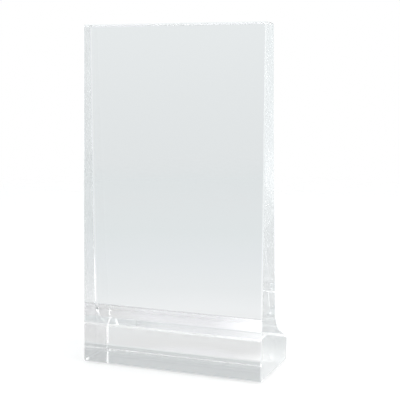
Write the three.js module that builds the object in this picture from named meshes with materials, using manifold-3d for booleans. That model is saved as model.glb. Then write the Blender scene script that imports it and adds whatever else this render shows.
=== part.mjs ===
// Clear crystal display stand for one photo, in millimetres, +Z up.
// A thick tapered tablet stands upright on its own lower edge. A coved block is bonded low on its back
// as a foot, and four thin clear pads keep the glass off the table.
// Origin: middle of the bounding box in plan, on the table. The picture face looks along -Y.
import * as THREE from "three";
import * as BufferGeometryUtils from "three/addons/utils/BufferGeometryUtils.js";
import Module from "manifold-3d";

const wasm = await Module();
wasm.setup();

// ---- Driving dimensions ----
const WIDTH = 100; // left to right
const HEIGHT = 180; // table to top edge
const DEPTH = 45.5; // picture face to the back of the foot
const TOP_THICKNESS = 13; // of the tablet, at its top edge
const SEAT_THICKNESS = 23.4; // of the tablet, where the foot is bonded on
const EDGE_BEVEL = 0.6; // polished bevel on every outer edge
const CLEARANCE = 0.3; // kept between pieces that touch
const BOND_THICKNESS = 0.3; // cured clear adhesive

const FOOT_TOP = 28; // foot measurements are heights above the underside of the glass
const FOOT_TOP_BEVEL = 0.7; // small slope on the foot's top edge
const FOOT_SLOPE = THREE.MathUtils.degToRad(25); // straight stretch between the cove and the back
const COVE_RADIUS = 17;
const BACK_HEIGHT = 12.4; // upright back of the foot
const BACK_BEVEL_RUN = 1.2; // bevel over the back, along the depth
const BACK_BEVEL_RISE = 1.3;
const HEEL_BEVEL = 2; // under the back of the foot

const PAD_THICKNESS = 0.6;
const PAD_RADIUS = 4;
const PAD_EDGE_RADIUS = 0.25; // rolled rim of a pad
const PAD_INSET = 9; // pad centre from the glass edges
const ARC_STEPS = 12; // straight steps in each curved stretch

// ---- Values worked out from them ----
const undersideZ = PAD_THICKNESS + CLEARANCE;
const glassHeight = HEIGHT - undersideZ;
const frontY = -DEPTH / 2;
const footFrontDepth = SEAT_THICKNESS + CLEARANCE + BOND_THICKNESS + CLEARANCE;

const glassMaterial = () =>
  new THREE.MeshStandardMaterial({ color: 0xe7ecea, roughness: 0.02, metalness: 0 });
const bondMaterial = () =>
  new THREE.MeshStandardMaterial({ color: 0xf0efe6, roughness: 0.1, metalness: 0 });
const padMaterial = () =>
  new THREE.MeshStandardMaterial({ color: 0xdfe4e3, roughness: 0.35, metalness: 0 });

// Turns a closed three.js geometry into a manifold-3d solid.
function toSolid(geometry) {
  const bare = geometry.index ? geometry.toNonIndexed() : geometry.clone();
  bare.deleteAttribute("normal");
  bare.deleteAttribute("uv");
  const merged = BufferGeometryUtils.mergeVertices(bare, 1e-4);
  return new wasm.Manifold(
    new wasm.Mesh({
      numProp: 3,
      vertProperties: new Float32Array(merged.attributes.position.array),
      triVerts: new Uint32Array(merged.index.array),
    }),
  );
}

function toGeometry(solid) {
  const result = solid.getMesh();
  const geometry = new THREE.BufferGeometry();
  geometry.setAttribute("position", new THREE.Float32BufferAttribute(result.vertProperties, 3));
  geometry.setIndex(new THREE.BufferAttribute(result.triVerts, 1));
  geometry.computeVertexNormals();
  return geometry;
}

// Centre of the cove's arc: the arc passes through the lower end of the foot's top bevel, and the
// straight slope, which falls at FOOT_SLOPE to the top of the back bevel, is tangent to it.
function coveArc() {
  const start = new THREE.Vector2(SEAT_THICKNESS + FOOT_TOP_BEVEL, FOOT_TOP - FOOT_TOP_BEVEL);
  const slopeEnd = new THREE.Vector2(DEPTH - BACK_BEVEL_RUN, BACK_HEIGHT + BACK_BEVEL_RISE);
  const upSlope = new THREE.Vector2(-Math.cos(FOOT_SLOPE), Math.sin(FOOT_SLOPE));
  const offSlope = new THREE.Vector2(Math.sin(FOOT_SLOPE), Math.cos(FOOT_SLOPE));
  const gap = slopeEnd.clone().sub(start);
  const along = gap.dot(upSlope);
  const reach = Math.sqrt(along * along - gap.lengthSq() - 2 * COVE_RADIUS * gap.dot(offSlope));
  const tangent = slopeEnd.clone().addScaledVector(upSlope, -along - reach);
  const centre = tangent.clone().addScaledVector(offSlope, COVE_RADIUS);
  return { start, tangent, centre, slopeEnd };
}

// Side outline of the glass: x is depth behind the picture face, y is height above the underside.
function sideOutline() {
  const cove = coveArc();
  const startAngle = Math.atan2(cove.start.y - cove.centre.y, cove.start.x - cove.centre.x);
  const endAngle = Math.atan2(cove.tangent.y - cove.centre.y, cove.tangent.x - cove.centre.x);
  const shape = new THREE.Shape();
  shape.moveTo(EDGE_BEVEL, 0);
  shape.lineTo(DEPTH - HEEL_BEVEL, 0);
  shape.lineTo(DEPTH, HEEL_BEVEL);
  shape.lineTo(DEPTH, BACK_HEIGHT);
  shape.lineTo(cove.slopeEnd.x, cove.slopeEnd.y);
  shape.lineTo(cove.tangent.x, cove.tangent.y);
  shape.absarc(cove.centre.x, cove.centre.y, COVE_RADIUS, endAngle, startAngle, true);
  shape.lineTo(SEAT_THICKNESS, FOOT_TOP);
  // The tablet's back is slightly hollow, so it thins faster near the seat than near the top.
  shape.quadraticCurveTo(
    TOP_THICKNESS + 0.3 * (SEAT_THICKNESS - TOP_THICKNESS),
    (glassHeight + FOOT_TOP) / 2,
    TOP_THICKNESS,
    glassHeight - EDGE_BEVEL,
  );
  shape.lineTo(TOP_THICKNESS - EDGE_BEVEL, glassHeight);
  shape.lineTo(EDGE_BEVEL, glassHeight);
  shape.lineTo(0, glassHeight - EDGE_BEVEL);
  shape.lineTo(0, EDGE_BEVEL);
  shape.closePath();
  return shape;
}

// The whole ground block: the outline run across the width, with its end edges bevelled, turned so
// that depth runs along +Y and height along +Z.
function groundBlock() {
  const geometry = new THREE.ExtrudeGeometry(sideOutline(), {
    depth: WIDTH - 2 * EDGE_BEVEL,
    curveSegments: ARC_STEPS,
    bevelEnabled: true,
    bevelSegments: 1,
    bevelSize: EDGE_BEVEL,
    bevelThickness: EDGE_BEVEL,
    bevelOffset: -EDGE_BEVEL,
  });
  geometry.applyMatrix4(
    new THREE.Matrix4().makeBasis(
      new THREE.Vector3(0, 1, 0),
      new THREE.Vector3(0, 0, 1),
      new THREE.Vector3(1, 0, 0),
    ),
  );
  geometry.translate(-WIDTH / 2 + EDGE_BEVEL, frontY, undersideZ);
  return toSolid(geometry);
}

// A box, larger than the block, that keeps only the depths between two planes.
function depthSlice(fromDepth, toDepth) {
  const geometry = new THREE.BoxGeometry(2 * WIDTH, toDepth - fromDepth, 2 * HEIGHT);
  geometry.translate(0, frontY + (fromDepth + toDepth) / 2, HEIGHT / 2);
  return toSolid(geometry);
}

function add(group, name, geometry, material) {
  const mesh = new THREE.Mesh(geometry, material);
  mesh.name = name;
  group.add(mesh);
  return mesh;
}

const stand = new THREE.Group();

// ---- Upright tablet: the picture face, ground thinner towards the top ----
const block = groundBlock();
const tablet = block.intersect(depthSlice(-EDGE_BEVEL, SEAT_THICKNESS));
add(stand, "upright_tablet", toGeometry(tablet), glassMaterial());

// ---- Rear foot: the coved block that carries the tablet's weight backwards ----
const foot = block.intersect(depthSlice(footFrontDepth, DEPTH + EDGE_BEVEL));
add(stand, "rear_foot", toGeometry(foot), glassMaterial());

// ---- Bond film: the clear adhesive between them, trimmed a little inside the edges ----
const BOND_INSET = 1.5;
const bondHeight = FOOT_TOP - 3 * BOND_INSET;
const bond = add(
  stand,
  "bond_film",
  new THREE.BoxGeometry(WIDTH - 2 * EDGE_BEVEL - 2 * BOND_INSET, BOND_THICKNESS, bondHeight),
  bondMaterial(),
);
bond.position.set(
  0,
  frontY + SEAT_THICKNESS + CLEARANCE + BOND_THICKNESS / 2,
  undersideZ + BOND_INSET + bondHeight / 2,
);

// ---- Pads: four thin clear discs with rolled rims under the corners ----
function padGeometry() {
  const rim = new THREE.Path();
  rim.moveTo(0, 0);
  rim.lineTo(PAD_RADIUS - PAD_EDGE_RADIUS, 0);
  rim.absarc(PAD_RADIUS - PAD_EDGE_RADIUS, PAD_EDGE_RADIUS, PAD_EDGE_RADIUS, -Math.PI / 2, 0, false);
  rim.lineTo(PAD_RADIUS, PAD_THICKNESS);
  rim.lineTo(0, PAD_THICKNESS);
  const geometry = new THREE.LatheGeometry(rim.getPoints(4), 32);
  geometry.rotateX(Math.PI / 2);
  return geometry;
}

for (const [endName, padY] of [
  ["front", frontY + PAD_INSET],
  ["rear", -frontY - PAD_INSET],
]) {
  for (const [sideName, side] of [
    ["left", -1],
    ["right", 1],
  ]) {
    const pad = add(stand, `${endName}_${sideName}_pad`, padGeometry(), padMaterial());
    pad.position.set(side * (WIDTH / 2 - PAD_INSET), padY, 0);
  }
}

export default stand;
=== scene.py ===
import math

import bmesh
import bpy
from mathutils import Matrix, Vector


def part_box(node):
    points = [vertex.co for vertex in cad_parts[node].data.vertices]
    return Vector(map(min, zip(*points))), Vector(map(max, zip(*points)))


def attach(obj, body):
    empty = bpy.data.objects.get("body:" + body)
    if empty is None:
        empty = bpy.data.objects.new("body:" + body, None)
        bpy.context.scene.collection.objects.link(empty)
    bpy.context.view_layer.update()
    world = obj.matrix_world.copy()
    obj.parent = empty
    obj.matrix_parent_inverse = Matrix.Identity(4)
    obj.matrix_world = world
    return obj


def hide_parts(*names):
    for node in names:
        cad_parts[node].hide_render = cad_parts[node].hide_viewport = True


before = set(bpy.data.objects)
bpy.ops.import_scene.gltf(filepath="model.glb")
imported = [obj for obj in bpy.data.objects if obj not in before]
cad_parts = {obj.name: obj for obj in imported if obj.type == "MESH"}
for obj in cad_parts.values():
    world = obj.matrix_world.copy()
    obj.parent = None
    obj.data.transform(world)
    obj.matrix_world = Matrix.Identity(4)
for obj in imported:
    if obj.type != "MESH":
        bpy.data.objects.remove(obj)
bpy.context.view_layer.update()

scene = bpy.context.scene

# ---------------------------------------------------------------------------------------------
# Upright tablet. The clear slab that carries the picture, flat in front and hollow-ground behind,
# so that it thins towards the top. It is cut from optical glass, lapped flat, polished on every
# face and bevelled by hand on the outer edges.
MM = 0.001
glass_low, tablet_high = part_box("upright_tablet")
glass_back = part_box("rear_foot")[1]
half_width = tablet_high.x
front_y = glass_low.y
underside_z = glass_low.z
stand_depth = glass_back.y - front_y
glass_height = tablet_high.z - underside_z
seat_depth = tablet_high.y - front_y
edge_bevel = 0.6 * MM
top_thickness = 13.0 * MM
hollow_share = 0.3
cove_top = 28.0 * MM
cove_top_bevel = 0.7 * MM
cove_radius = 17.0 * MM
slope_angle = math.radians(25)
back_height = 12.4 * MM
back_bevel_run = 1.2 * MM
back_bevel_rise = 1.3 * MM
heel_bevel = 2.0 * MM
heel_arris = 0.45 * MM
cove_steps = 40
hollow_steps = 48


def cove_arc():
    """The cove's arc: it starts under the foot's top bevel and runs tangent into the straight slope."""
    start = Vector((seat_depth + cove_top_bevel, cove_top - cove_top_bevel))
    slope_end = Vector((stand_depth - back_bevel_run, back_height + back_bevel_rise))
    up_slope = Vector((-math.cos(slope_angle), math.sin(slope_angle)))
    off_slope = Vector((math.sin(slope_angle), math.cos(slope_angle)))
    gap = slope_end - start
    along = gap.dot(up_slope)
    reach = math.sqrt(along**2 - gap.length_squared - 2 * cove_radius * gap.dot(off_slope))
    tangent = slope_end - up_slope * (along + reach)
    centre = tangent + off_slope * cove_radius
    first, last = start - centre, tangent - centre
    turn = first.angle_signed(last)
    points = []
    for step in range(cove_steps + 1):
        angle = -turn * step / cove_steps
        points.append(centre + Matrix.Rotation(angle, 2) @ first)
    return points, slope_end


def side_outline():
    """The side view of the glass as (depth, height) points, from the front over the top and back."""
    cove, slope_end = cove_arc()
    seat_end = Vector((seat_depth, cove_top))
    top_end = Vector((top_thickness, glass_height - edge_bevel))
    middle = Vector((top_thickness + hollow_share * (seat_depth - top_thickness),
                     (glass_height + cove_top) / 2))
    hollow = []
    for step in range(hollow_steps + 1):
        t = step / hollow_steps
        hollow.append(top_end * (1 - t) ** 2 + middle * 2 * t * (1 - t) + seat_end * t**2)
    outline = [
        Vector((edge_bevel, 0)),
        Vector((0, edge_bevel)),
        Vector((0, glass_height - edge_bevel)),
        Vector((edge_bevel, glass_height)),
        Vector((top_thickness - edge_bevel, glass_height)),
    ]
    outline += hollow
    outline += cove
    outline += [
        slope_end,
        Vector((stand_depth, back_height)),
        Vector((stand_depth, heel_bevel + heel_arris)),
        Vector((stand_depth - heel_arris, heel_bevel - heel_arris)),
        Vector((stand_depth - heel_bevel, 0)),
    ]
    return outline


def inset(outline, amount):
    """The same outline drawn in by an even amount, point for point."""
    count = len(outline)
    drawn_in = []
    for index, point in enumerate(outline):
        before = (point - outline[index - 1]).normalized()
        after = (outline[(index + 1) % count] - point).normalized()
        normals = [Vector((side.y, -side.x)) for side in (before, after)]
        bisector = (normals[0] + normals[1]).normalized()
        drawn_in.append(point + bisector * amount / max(bisector.dot(normals[0]), 0.3))
    return drawn_in


def ground_glass(name, joint_depth, keep_front):
    """A closed piece of the ground block in front of, or behind, the bonded joint."""
    bm = bmesh.new()
    # Each face's grind level, which also sets the painted glow of the bevels.
    ground = bm.faces.layers.float.new("grind_and_glow_edge")
    lapped = bm.faces.layers.float.new("lapped_end")
    underside = bm.faces.layers.float.new("fine_ground_underside")
    outline = side_outline()
    drawn_in = inset(outline, edge_bevel)
    rings = []
    for x, ring in (
        (-half_width, drawn_in),
        (-half_width + edge_bevel, outline),
        (half_width - edge_bevel, outline),
        (half_width, drawn_in),
    ):
        rings.append([bm.verts.new((x, front_y + p.x, underside_z + p.y)) for p in ring])
    count = len(outline)
    longest_bevel = 3 * MM
    sides_below_cove = 5
    first_hollow_side = 5
    first_cove_side = first_hollow_side + 1 + hollow_steps
    # How ground each kind of bevel looks, from 0, polished clear, to 1, white. The same level sets its
    # painted glow.
    back_grind_glow, top_grind_glow, front_grind_glow, cove_end_grind_glow, upright_grind_glow = 1.0, 0.35, 0.2, 0.22, 0.12
    for step in range(3):
        for index in range(count):
            after = (index + 1) % count
            face = bm.faces.new(
                (rings[step][index], rings[step + 1][index],
                 rings[step + 1][after], rings[step][after]))
            side = outline[after] - outline[index]
            diagonal = abs(side.x) > 0.2 * side.length and abs(side.y) > 0.2 * side.length
            short_bevel = diagonal and side.length < longest_bevel
            on_end_bevel = step != 1
            is_front = index == 1
            is_top = 2 <= index <= 4
            on_upright_back = first_hollow_side <= index < first_cove_side
            on_cove = first_cove_side <= index < count - sides_below_cove
            is_back_edge = count - sides_below_cove <= index < count - 3
            if is_back_edge and (on_end_bevel or short_bevel):
                face[ground] = back_grind_glow
            elif is_top and (on_end_bevel or short_bevel):
                face[ground] = top_grind_glow
            elif on_end_bevel and is_front:
                face[ground] = front_grind_glow
            elif on_end_bevel and on_cove:
                face[ground] = cove_end_grind_glow
            elif on_end_bevel and on_upright_back:
                face[ground] = upright_grind_glow
            face[underside] = 1.0 if index == count - 1 else 0.0
            face.smooth = True
    for end in (bm.faces.new(rings[0][::-1]), bm.faces.new(rings[3])):
        end[lapped] = 1.0
    bmesh.ops.recalc_face_normals(bm, faces=bm.faces[:])
    keep = -1 if keep_front else 1
    cut = bmesh.ops.bisect_plane(
        bm, geom=bm.verts[:] + bm.edges[:] + bm.faces[:], dist=1e-7,
        plane_co=(0, front_y + joint_depth, 0), plane_no=(0, -keep, 0), clear_outer=True)
    rim = [e for e in cut["geom_cut"] if isinstance(e, bmesh.types.BMEdge) and e.is_boundary]
    bmesh.ops.contextual_create(bm, geom=rim)
    bmesh.ops.recalc_face_normals(bm, faces=bm.faces[:])
    mesh = bpy.data.meshes.new(name)
    bm.to_mesh(mesh)
    bm.free()
    mesh.set_sharp_from_angle(angle=math.radians(12))
    piece = bpy.data.objects.new(name, mesh)
    scene.collection.objects.link(piece)
    return piece


def linear(hex_colour):
    """An sRGB hex colour as linear RGBA."""
    channels = [int(hex_colour[i:i + 2], 16) / 255 for i in (1, 3, 5)]
    return tuple(c / 12.92 if c <= 0.04045 else ((c + 0.055) / 1.055) ** 2.4 for c in channels) + (1,)


def node(tree, kind, settings=(), **links):
    """Adds a node, sets its properties or sockets by name, and links what is given by socket."""
    made = tree.nodes.new(kind)
    for name, value in dict(settings).items():
        if hasattr(made, name):
            setattr(made, name, value)
        else:
            made.inputs[name].default_value = value
    for name, source in links.items():
        tree.links.new(source, made.inputs[name.replace("_", " ")])
    return made


def polished_crystal():
    """Optical crystal glass, lapped and polished: clear, with a faint cool tint in its depth.

    The polish leaves a very slow ripple and a trace of haze. The ground bevels are whiter, and a faint
    painted glow, an emission of their own, stands for the light that their many small facets scatter."""
    material = bpy.data.materials.new("polished_crystal_glass")
    material.use_nodes = True
    tree = material.node_tree
    shader = tree.nodes["Principled BSDF"]
    shader.inputs["Base Color"].default_value = linear("#ffffff")
    shader.inputs["IOR"].default_value = 1.47
    place = node(tree, "ShaderNodeTexCoord").outputs["Object"]
    edge = node(tree, "ShaderNodeAttribute", {"attribute_name": "grind_and_glow_edge"}).outputs["Fac"]
    end = node(tree, "ShaderNodeAttribute", {"attribute_name": "lapped_end"}).outputs["Fac"]
    haze = node(tree, "ShaderNodeTexNoise", {"Scale": 1 / (14 * MM), "Detail": 3.0}, Vector=place)
    grit = node(tree, "ShaderNodeTexNoise", {"Scale": 1 / (2.5 * MM), "Detail": 2.0}, Vector=place)
    polish = node(tree, "ShaderNodeMapRange", {"From Min": 0.45, "From Max": 0.8, "To Max": 0.03},
                  Value=haze.outputs["Fac"])
    bevel = node(tree, "ShaderNodeMapRange", {"To Min": 0.35, "To Max": 0.55},
                 Value=grit.outputs["Fac"])
    rough = node(tree, "ShaderNodeMix", {"data_type": "FLOAT"})
    tree.links.new(edge, rough.inputs[0])
    tree.links.new(polish.outputs[0], rough.inputs[2])
    tree.links.new(bevel.outputs[0], rough.inputs[3])
    satin = node(tree, "ShaderNodeMath", {"operation": "MULTIPLY_ADD"})
    tree.links.new(end, satin.inputs[0])
    satin.inputs[1].default_value = 0.01
    tree.links.new(rough.outputs[0], satin.inputs[2])
    below = node(tree, "ShaderNodeAttribute", {"attribute_name": "fine_ground_underside"})
    fine = node(tree, "ShaderNodeMath", {"operation": "MULTIPLY_ADD"})
    tree.links.new(below.outputs["Fac"], fine.inputs[0])
    fine.inputs[1].default_value = 0.05
    tree.links.new(satin.outputs[0], fine.inputs[2])
    tree.links.new(fine.outputs[0], shader.inputs["Roughness"])
    milk = node(tree, "ShaderNodeMath", {"operation": "MULTIPLY_ADD"})
    tree.links.new(end, milk.inputs[0])
    milk.inputs[1].default_value = 0.35
    tree.links.new(edge, milk.inputs[2])
    clear = node(tree, "ShaderNodeMapRange", {"To Min": 1.0, "To Max": 0.8}, Value=milk.outputs[0])
    tree.links.new(clear.outputs[0], shader.inputs["Transmission Weight"])
    # Painted glow: the ground bevels emit a little white light, in step with their grind level, though
    # they are no lamp.
    shader.inputs["Emission Color"].default_value = linear("#ffffff")
    glow = node(tree, "ShaderNodeMath", {"operation": "MULTIPLY"})
    tree.links.new(edge, glow.inputs[0])
    glow.inputs[1].default_value = 0.45
    tree.links.new(glow.outputs[0], shader.inputs["Emission Strength"])
    ripple = node(tree, "ShaderNodeTexNoise", {"Scale": 1 / (60 * MM), "Detail": 1.0}, Vector=place)
    lap = node(tree, "ShaderNodeBump", {"Strength": 0.05, "Distance": 0.4 * MM},
               Height=ripple.outputs["Fac"])
    tree.links.new(lap.outputs[0], shader.inputs["Normal"])
    depth_tint = node(tree, "ShaderNodeVolumeAbsorption", {"Density": 2.0})
    depth_tint.inputs["Color"].default_value = linear("#e2e8ea")
    tree.links.new(depth_tint.outputs[0], tree.nodes["Material Output"].inputs["Volume"])
    return material


crystal = polished_crystal()
bond_overlap = 0.1 * MM  # the cured bond leaves no air, so the two glass faces pass into each other
tablet = ground_glass("tablet_glass", seat_depth + bond_overlap / 2, keep_front=True)
tablet.data.materials.append(crystal)
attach(tablet, "root")
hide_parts("upright_tablet")

# ---------------------------------------------------------------------------------------------
# Rear foot. A block of the same glass behind the tablet, coved on top by a round wheel and left
# straight at the back, so that the stand can't tip backwards. It is bonded flush and the end
# faces are lapped together with the tablet's.
foot = ground_glass("foot_glass", seat_depth - bond_overlap / 2, keep_front=False)
foot.data.materials.append(crystal)
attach(foot, "root")
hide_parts("rear_foot")

# ---------------------------------------------------------------------------------------------
# Bond film. Clear adhesive cured by ultraviolet light between tablet and foot, trimmed inside
# the edges. It matches the glass, so it hardly shows and leaves only a trace of tone.
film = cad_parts["bond_film"]


def cured_adhesive():
    """Cured acrylate adhesive: clear, index matched, a touch warm.

    It lies inside the glass, so an IOR of 1 and a low alpha let light cross it unbent."""
    material = bpy.data.materials.new("cured_clear_adhesive")
    material.use_nodes = True
    tree = material.node_tree
    shader = tree.nodes["Principled BSDF"]
    shader.inputs["IOR"].default_value = 1.0
    shader.inputs["Transmission Weight"].default_value = 1.0
    shader.inputs["Roughness"].default_value = 0.0
    shader.inputs["Alpha"].default_value = 0.15
    place = node(tree, "ShaderNodeTexCoord").outputs["Object"]
    flow = node(tree, "ShaderNodeTexNoise", {"Scale": 1 / (9 * MM), "Detail": 2.0}, Vector=place)
    tone = node(tree, "ShaderNodeValToRGB", Fac=flow.outputs["Fac"])
    tone.color_ramp.elements[0].color = linear("#fdfdfb")
    tone.color_ramp.elements[1].color = linear("#fffffe")
    tree.links.new(tone.outputs["Color"], shader.inputs["Base Color"])
    return material


film.data.materials.clear()
film.data.materials.append(cured_adhesive())

# ---------------------------------------------------------------------------------------------
# Corner pads. Thin discs of clear soft polyurethane with rolled rims, stuck under the corners so
# that the glass neither slides nor scratches the table. All four are cast alike and pressed on by
# hand, each turned its own way.
pad_nodes = ("front_left_pad", "front_right_pad", "rear_left_pad", "rear_right_pad")
pad_low, pad_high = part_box("front_left_pad")
opposite_low, opposite_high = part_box("rear_right_pad")
pad_radius = (pad_high.x - pad_low.x) / 2
pad_spacing = opposite_low - pad_low
pads_middle = (pad_low + opposite_high) / 2
pad_air_gap = 0.02 * MM
pad_thickness = underside_z - pad_low.z - pad_air_gap
pad_rim = 0.25 * MM
pad_segments = 56
rim_steps = 4


def cast_pad():
    """One pad about its own middle, as a turned shape with a rolled rim above and below."""
    bm = bmesh.new()
    profile = []
    for corner_height, turn_start in ((pad_rim, -90), (pad_thickness - pad_rim, 0)):
        for step in range(rim_steps + 1):
            angle = math.radians(turn_start + 90 * step / rim_steps)
            profile.append((pad_radius - pad_rim + pad_rim * math.cos(angle),
                            corner_height + pad_rim * math.sin(angle)))
    loops = []
    for radius, height in profile:
        loops.append([bm.verts.new((radius * math.cos(2 * math.pi * i / pad_segments),
                                    radius * math.sin(2 * math.pi * i / pad_segments), height))
                      for i in range(pad_segments)])
    for lower, upper in zip(loops, loops[1:]):
        for i in range(pad_segments):
            j = (i + 1) % pad_segments
            bm.faces.new((lower[i], lower[j], upper[j], upper[i])).smooth = True
    bm.faces.new(loops[0][::-1])
    bm.faces.new(loops[-1])
    bmesh.ops.recalc_face_normals(bm, faces=bm.faces[:])
    mesh = bpy.data.meshes.new("pad_casting")
    bm.to_mesh(mesh)
    bm.free()
    mesh.set_sharp_from_angle(angle=math.radians(40))
    return mesh


def clear_polyurethane():
    """Cast polyurethane: clear, with a soft satin skin and a little dust pressed into it."""
    material = bpy.data.materials.new("clear_polyurethane")
    material.use_nodes = True
    tree = material.node_tree
    shader = tree.nodes["Principled BSDF"]
    shader.inputs["IOR"].default_value = 1.4
    shader.inputs["Transmission Weight"].default_value = 1.0
    place = node(tree, "ShaderNodeTexCoord").outputs["Object"]
    skin = node(tree, "ShaderNodeTexNoise", {"Scale": 1 / (1.2 * MM), "Detail": 3.0}, Vector=place)
    satin = node(tree, "ShaderNodeMapRange", {"To Min": 0.15, "To Max": 0.3},
                 Value=skin.outputs["Fac"])
    tree.links.new(satin.outputs[0], shader.inputs["Roughness"])
    dust = node(tree, "ShaderNodeTexNoise", {"Scale": 1 / (0.4 * MM), "Detail": 2.0}, Vector=place)
    speck = node(tree, "ShaderNodeValToRGB", Fac=dust.outputs["Fac"])
    speck.color_ramp.elements[0].position = 0.62
    speck.color_ramp.elements[0].color = linear("#fdfefe")
    speck.color_ramp.elements[1].position = 0.74
    speck.color_ramp.elements[1].color = linear("#e8eaea")
    tree.links.new(speck.outputs["Color"], shader.inputs["Base Color"])
    return material


def pads_under_corners():
    """Sets a casting under each corner of a rectangle, turned at random about the upright."""
    group = bpy.data.node_groups.new("pads_under_corners", "GeometryNodeTree")
    sockets = {}
    for name, kind in (("Casting", "NodeSocketGeometry"), ("Spacing X", "NodeSocketFloat"),
                       ("Spacing Y", "NodeSocketFloat"), ("Middle", "NodeSocketVector"),
                       ("Seed", "NodeSocketInt"), ("Material", "NodeSocketMaterial")):
        sockets[name] = group.interface.new_socket(name, in_out="INPUT", socket_type=kind).identifier
    group.interface.new_socket("Pads", in_out="OUTPUT", socket_type="NodeSocketGeometry")
    given = group.nodes.new("NodeGroupInput").outputs
    corners = node(group, "GeometryNodeMeshGrid", {"Vertices X": 2, "Vertices Y": 2},
                   Size_X=given["Spacing X"], Size_Y=given["Spacing Y"])
    placed = node(group, "GeometryNodeTransform", Geometry=corners.outputs["Mesh"],
                  Translation=given["Middle"])
    turn = node(group, "FunctionNodeRandomValue", {"data_type": "FLOAT_VECTOR"}, Seed=given["Seed"])
    turn.inputs[0].default_value = (0, 0, 0)
    turn.inputs[1].default_value = (0, 0, math.tau)
    pressed = node(group, "GeometryNodeInstanceOnPoints", Points=placed.outputs[0],
                   Instance=given["Casting"], Rotation=turn.outputs[0])
    real = node(group, "GeometryNodeRealizeInstances", Geometry=pressed.outputs[0])
    painted = node(group, "GeometryNodeSetMaterial", Geometry=real.outputs[0],
                   Material=given["Material"])
    result = group.nodes.new("NodeGroupOutput")
    group.links.new(painted.outputs[0], result.inputs["Pads"])
    return group, sockets


pads = bpy.data.objects.new("corner_pads", cast_pad())
scene.collection.objects.link(pads)
pad_group, pad_sockets = pads_under_corners()
pad_maker = pads.modifiers.new("pads_under_corners", "NODES")
pad_maker.node_group = pad_group
pad_maker[pad_sockets["Spacing X"]] = abs(pad_spacing.x)
pad_maker[pad_sockets["Spacing Y"]] = abs(pad_spacing.y)
pad_maker[pad_sockets["Middle"]] = (pads_middle.x, pads_middle.y, pad_low.z)
pad_maker[pad_sockets["Seed"]] = 11
pad_maker[pad_sockets["Material"]] = clear_polyurethane()
made_pads = bpy.data.meshes.new_from_object(
    pads.evaluated_get(bpy.context.evaluated_depsgraph_get()))
pads.modifiers.clear()
pads.data = made_pads
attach(pads, "root")
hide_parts(*pad_nodes)

# ---------------------------------------------------------------------------------------------
# Floor, light and camera. A plain white table with soft light from above and from both sides.
# The camera sees table and surround as white. The glass sees them in greys, on the table painted light
# and shade, fitted so that its clear faces can be told apart.
floor_mesh = bpy.data.meshes.new("table_top")
floor_bm = bmesh.new()
bmesh.ops.create_circle(floor_bm, cap_ends=True, segments=96, radius=1.4)
floor_bm.to_mesh(floor_mesh)
floor_bm.free()
floor = bpy.data.objects.new("table_top", floor_mesh)
scene.collection.objects.link(floor)


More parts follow.
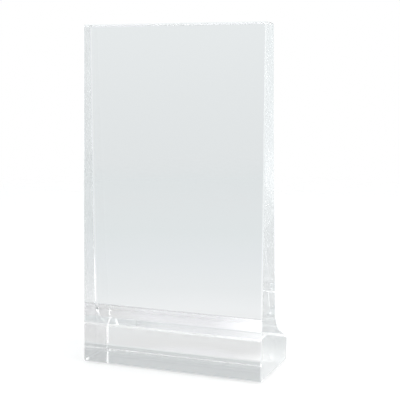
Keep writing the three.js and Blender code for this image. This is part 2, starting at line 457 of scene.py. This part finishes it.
def white_laminate():
    """A plain white table top. The glass sees painted light and shade on it; its far part fades out, so
    that the surround takes over softly.
    """
    material = bpy.data.materials.new("white_laminate")
    material.use_nodes = True
    tree = material.node_tree
    shader = tree.nodes["Principled BSDF"]
    shader.inputs["Roughness"].default_value = 0.85
    place = node(tree, "ShaderNodeTexCoord").outputs["Object"]
    reach = node(tree, "ShaderNodeVectorMath", {"operation": "LENGTH"}, Vector=place).outputs["Value"]
    lit = node(tree, "ShaderNodeValToRGB", Fac=reach)
    bands = lit.color_ramp
    bands.elements.remove(bands.elements[1])
    # Painted light and shade, seen only from the glass: brightest under the stand, a painted shadow
    # just behind it, then darker further out.
    painted_light_levels = [(0.0, "#f1f1f4"), (0.03, "#f1f1f4"), (0.05, "#e3e3e3"), (0.11, "#e6e8e9"),
              (0.16, "#dfe2e3"), (0.25, "#dadee0"), (0.37, "#d6dbdc"), (0.56, "#d6dadb"),
              (0.75, "#d4d9da")]
    for index, (distance, tone) in enumerate(painted_light_levels):
        element = bands.elements[0] if index == 0 else bands.elements.new(distance)
        element.position = distance
        element.color = linear(tone)
    # A painted pool of light beside the right end, seen only from the glass. The camera sees the table
    # evenly lit.
    painted_pool_middle = Vector((half_width + 30 * MM, 5 * MM, 0))  # brighter beside the right end
    off_painted_pool = node(tree, "ShaderNodeVectorMath", {"operation": "DISTANCE"}, Vector=place)
    off_painted_pool.inputs[1].default_value = painted_pool_middle
    painted_pool = node(tree, "ShaderNodeMapRange",
                {"interpolation_type": "SMOOTHSTEP", "From Min": 0.075, "From Max": 0.025,
                 "To Min": 1.0, "To Max": 1.9}, Value=off_painted_pool.outputs["Value"])
    straight_look = node(tree, "ShaderNodeLightPath").outputs["Is Camera Ray"]
    blend = node(tree, "ShaderNodeMix", {"data_type": "RGBA"})
    tree.links.new(straight_look, blend.inputs["Factor"])
    tree.links.new(lit.outputs["Color"], blend.inputs["A"])
    blend.inputs["B"].default_value = linear("#cecece")
    tree.links.new(blend.outputs["Result"], shader.inputs["Emission Color"])
    # The glass sees a dark table that is lit almost only by its painted glow. The camera sees a paler
    # one, evenly bright and lit by the lamps.
    paint = node(tree, "ShaderNodeMix", {"data_type": "RGBA"})
    tree.links.new(straight_look, paint.inputs["Factor"])
    paint.inputs["A"].default_value = linear("#282828")
    paint.inputs["B"].default_value = linear("#a8a8a8")
    tree.links.new(paint.outputs["Result"], shader.inputs["Base Color"])
    glow = node(tree, "ShaderNodeMix", {"data_type": "FLOAT"}, Factor=straight_look)
    tree.links.new(painted_pool.outputs[0], glow.inputs[2])
    glow.inputs[3].default_value = 1.0
    tree.links.new(glow.outputs[0], shader.inputs["Emission Strength"])
    patchy = node(tree, "ShaderNodeTexNoise", {"Scale": 3.0, "Detail": 2.0}, Vector=place)
    uneven = node(tree, "ShaderNodeMapRange", {"To Min": -0.2, "To Max": 0.2},
                  Value=patchy.outputs["Fac"])
    edge = node(tree, "ShaderNodeMath", {"operation": "ADD"})
    tree.links.new(reach, edge.inputs[0])
    tree.links.new(uneven.outputs[0], edge.inputs[1])
    fade = node(tree, "ShaderNodeMapRange",
                {"interpolation_type": "SMOOTHSTEP", "From Min": 0.6, "From Max": 1.1,
                 "To Min": 1.0, "To Max": 0.0}, Value=edge.outputs[0])
    tree.links.new(fade.outputs[0], shader.inputs["Alpha"])
    return material


floor_mesh.materials.append(white_laminate())

world = bpy.data.worlds.new("studio")
scene.world = world
world.use_nodes = True
sky = world.node_tree
background = sky.nodes["Background"]
direction = node(sky, "ShaderNodeTexCoord").outputs["Generated"]
height = node(sky, "ShaderNodeSeparateXYZ", Vector=direction).outputs["Z"]
rise = node(sky, "ShaderNodeMapRange", {"From Min": -1.0, "From Max": 1.0}, Value=height)
tones = node(sky, "ShaderNodeValToRGB", Fac=rise.outputs[0])
ramp = tones.color_ramp
ramp.elements.remove(ramp.elements[1])
surround = [(-90, 0.80), (-9, 0.77), (-5, 0.785), (-2, 0.80), (3, 0.83), (8, 0.76), (13, 0.68),
            (20, 0.67), (30, 0.68), (42, 0.70), (52, 0.98), (68, 0.95), (80, 0.80), (90, 0.74)]
for index, (elevation, tone) in enumerate(surround):
    place_on_ramp = (math.sin(math.radians(elevation)) + 1) / 2
    element = ramp.elements[0] if index == 0 else ramp.elements.new(place_on_ramp)
    element.position = place_on_ramp
    element.color = (tone * 0.965, tone, tone * 1.01, 1)
# A soft window of light stands behind the stand on its right.
window = Vector((math.sin(math.radians(15)), math.cos(math.radians(15)), -0.03)).normalized()
towards = node(sky, "ShaderNodeVectorMath", {"operation": "DOT_PRODUCT"})
sky.links.new(direction, towards.inputs[0])
towards.inputs[1].default_value = window
window_light = node(sky, "ShaderNodeMapRange",
                    {"interpolation_type": "SMOOTHSTEP", "From Min": math.cos(math.radians(14)),
                     "From Max": math.cos(math.radians(4)), "To Max": 0.5},
                    Value=towards.outputs["Value"])
lit = node(sky, "ShaderNodeMix", {"data_type": "RGBA", "blend_type": "ADD"})
lit.inputs["Factor"].default_value = 1.0
sky.links.new(tones.outputs["Color"], lit.inputs["A"])
sky.links.new(window_light.outputs[0], lit.inputs["B"])
seen = node(sky, "ShaderNodeLightPath").outputs["Is Camera Ray"]
blend = node(sky, "ShaderNodeMix", {"data_type": "RGBA"})
sky.links.new(seen, blend.inputs["Factor"])
sky.links.new(lit.outputs["Result"], blend.inputs["A"])
blend.inputs["B"].default_value = linear("#ffffff")
sky.links.new(blend.outputs["Result"], background.inputs["Color"])


def softbox(name, place, size, power):
    """A square area light that faces the middle of the stand."""
    light = bpy.data.lights.new(name, "AREA")
    light.shape = "SQUARE"
    light.size = size
    light.energy = power
    lamp = bpy.data.objects.new(name, light)
    aim = Vector((0, 0, 0.09)) - Vector(place)
    lamp.matrix_world = Matrix.Translation(place) @ aim.to_track_quat("-Z", "Y").to_matrix().to_4x4()
    scene.collection.objects.link(lamp)
    return lamp


softbox("top_softbox", (0.1, -0.2, 1.2), 0.7, 2.0)
softbox("left_softbox", (-0.9, -0.5, 0.6), 0.5, 1.0)
softbox("right_softbox", (1.0, -0.05, 0.35), 0.5, 8.0)

camera_data = bpy.data.cameras.new("camera")
camera = bpy.data.objects.new("camera", camera_data)
scene.collection.objects.link(camera)
turn, tip, roll = math.radians(21.32), math.radians(4.87), math.radians(0.50)
forward = Vector((-math.sin(turn) * math.cos(tip), math.cos(turn) * math.cos(tip), -math.sin(tip)))
right = Vector((math.cos(turn), math.sin(turn), 0))
up = right.cross(forward)
rolled_right = right * math.cos(roll) + up * math.sin(roll)
rolled_up = up * math.cos(roll) - right * math.sin(roll)
stance = Matrix((rolled_right, rolled_up, -forward)).transposed().to_4x4()
stance.translation = Vector((0.1894, -0.4437 + front_y, 0.1461 + underside_z))
camera.matrix_world = stance
camera_data.sensor_width = 36
camera_data.lens = 36 * 950 / 400
camera_data.shift_y = -30 / 400
camera_data.clip_start = 0.01
scene.camera = camera
scene.view_settings.view_transform = "Standard"
scene.cycles.max_bounces = 64
scene.cycles.glossy_bounces = 64
scene.cycles.transmission_bounces = 64
scene.cycles.transparent_max_bounces = 64
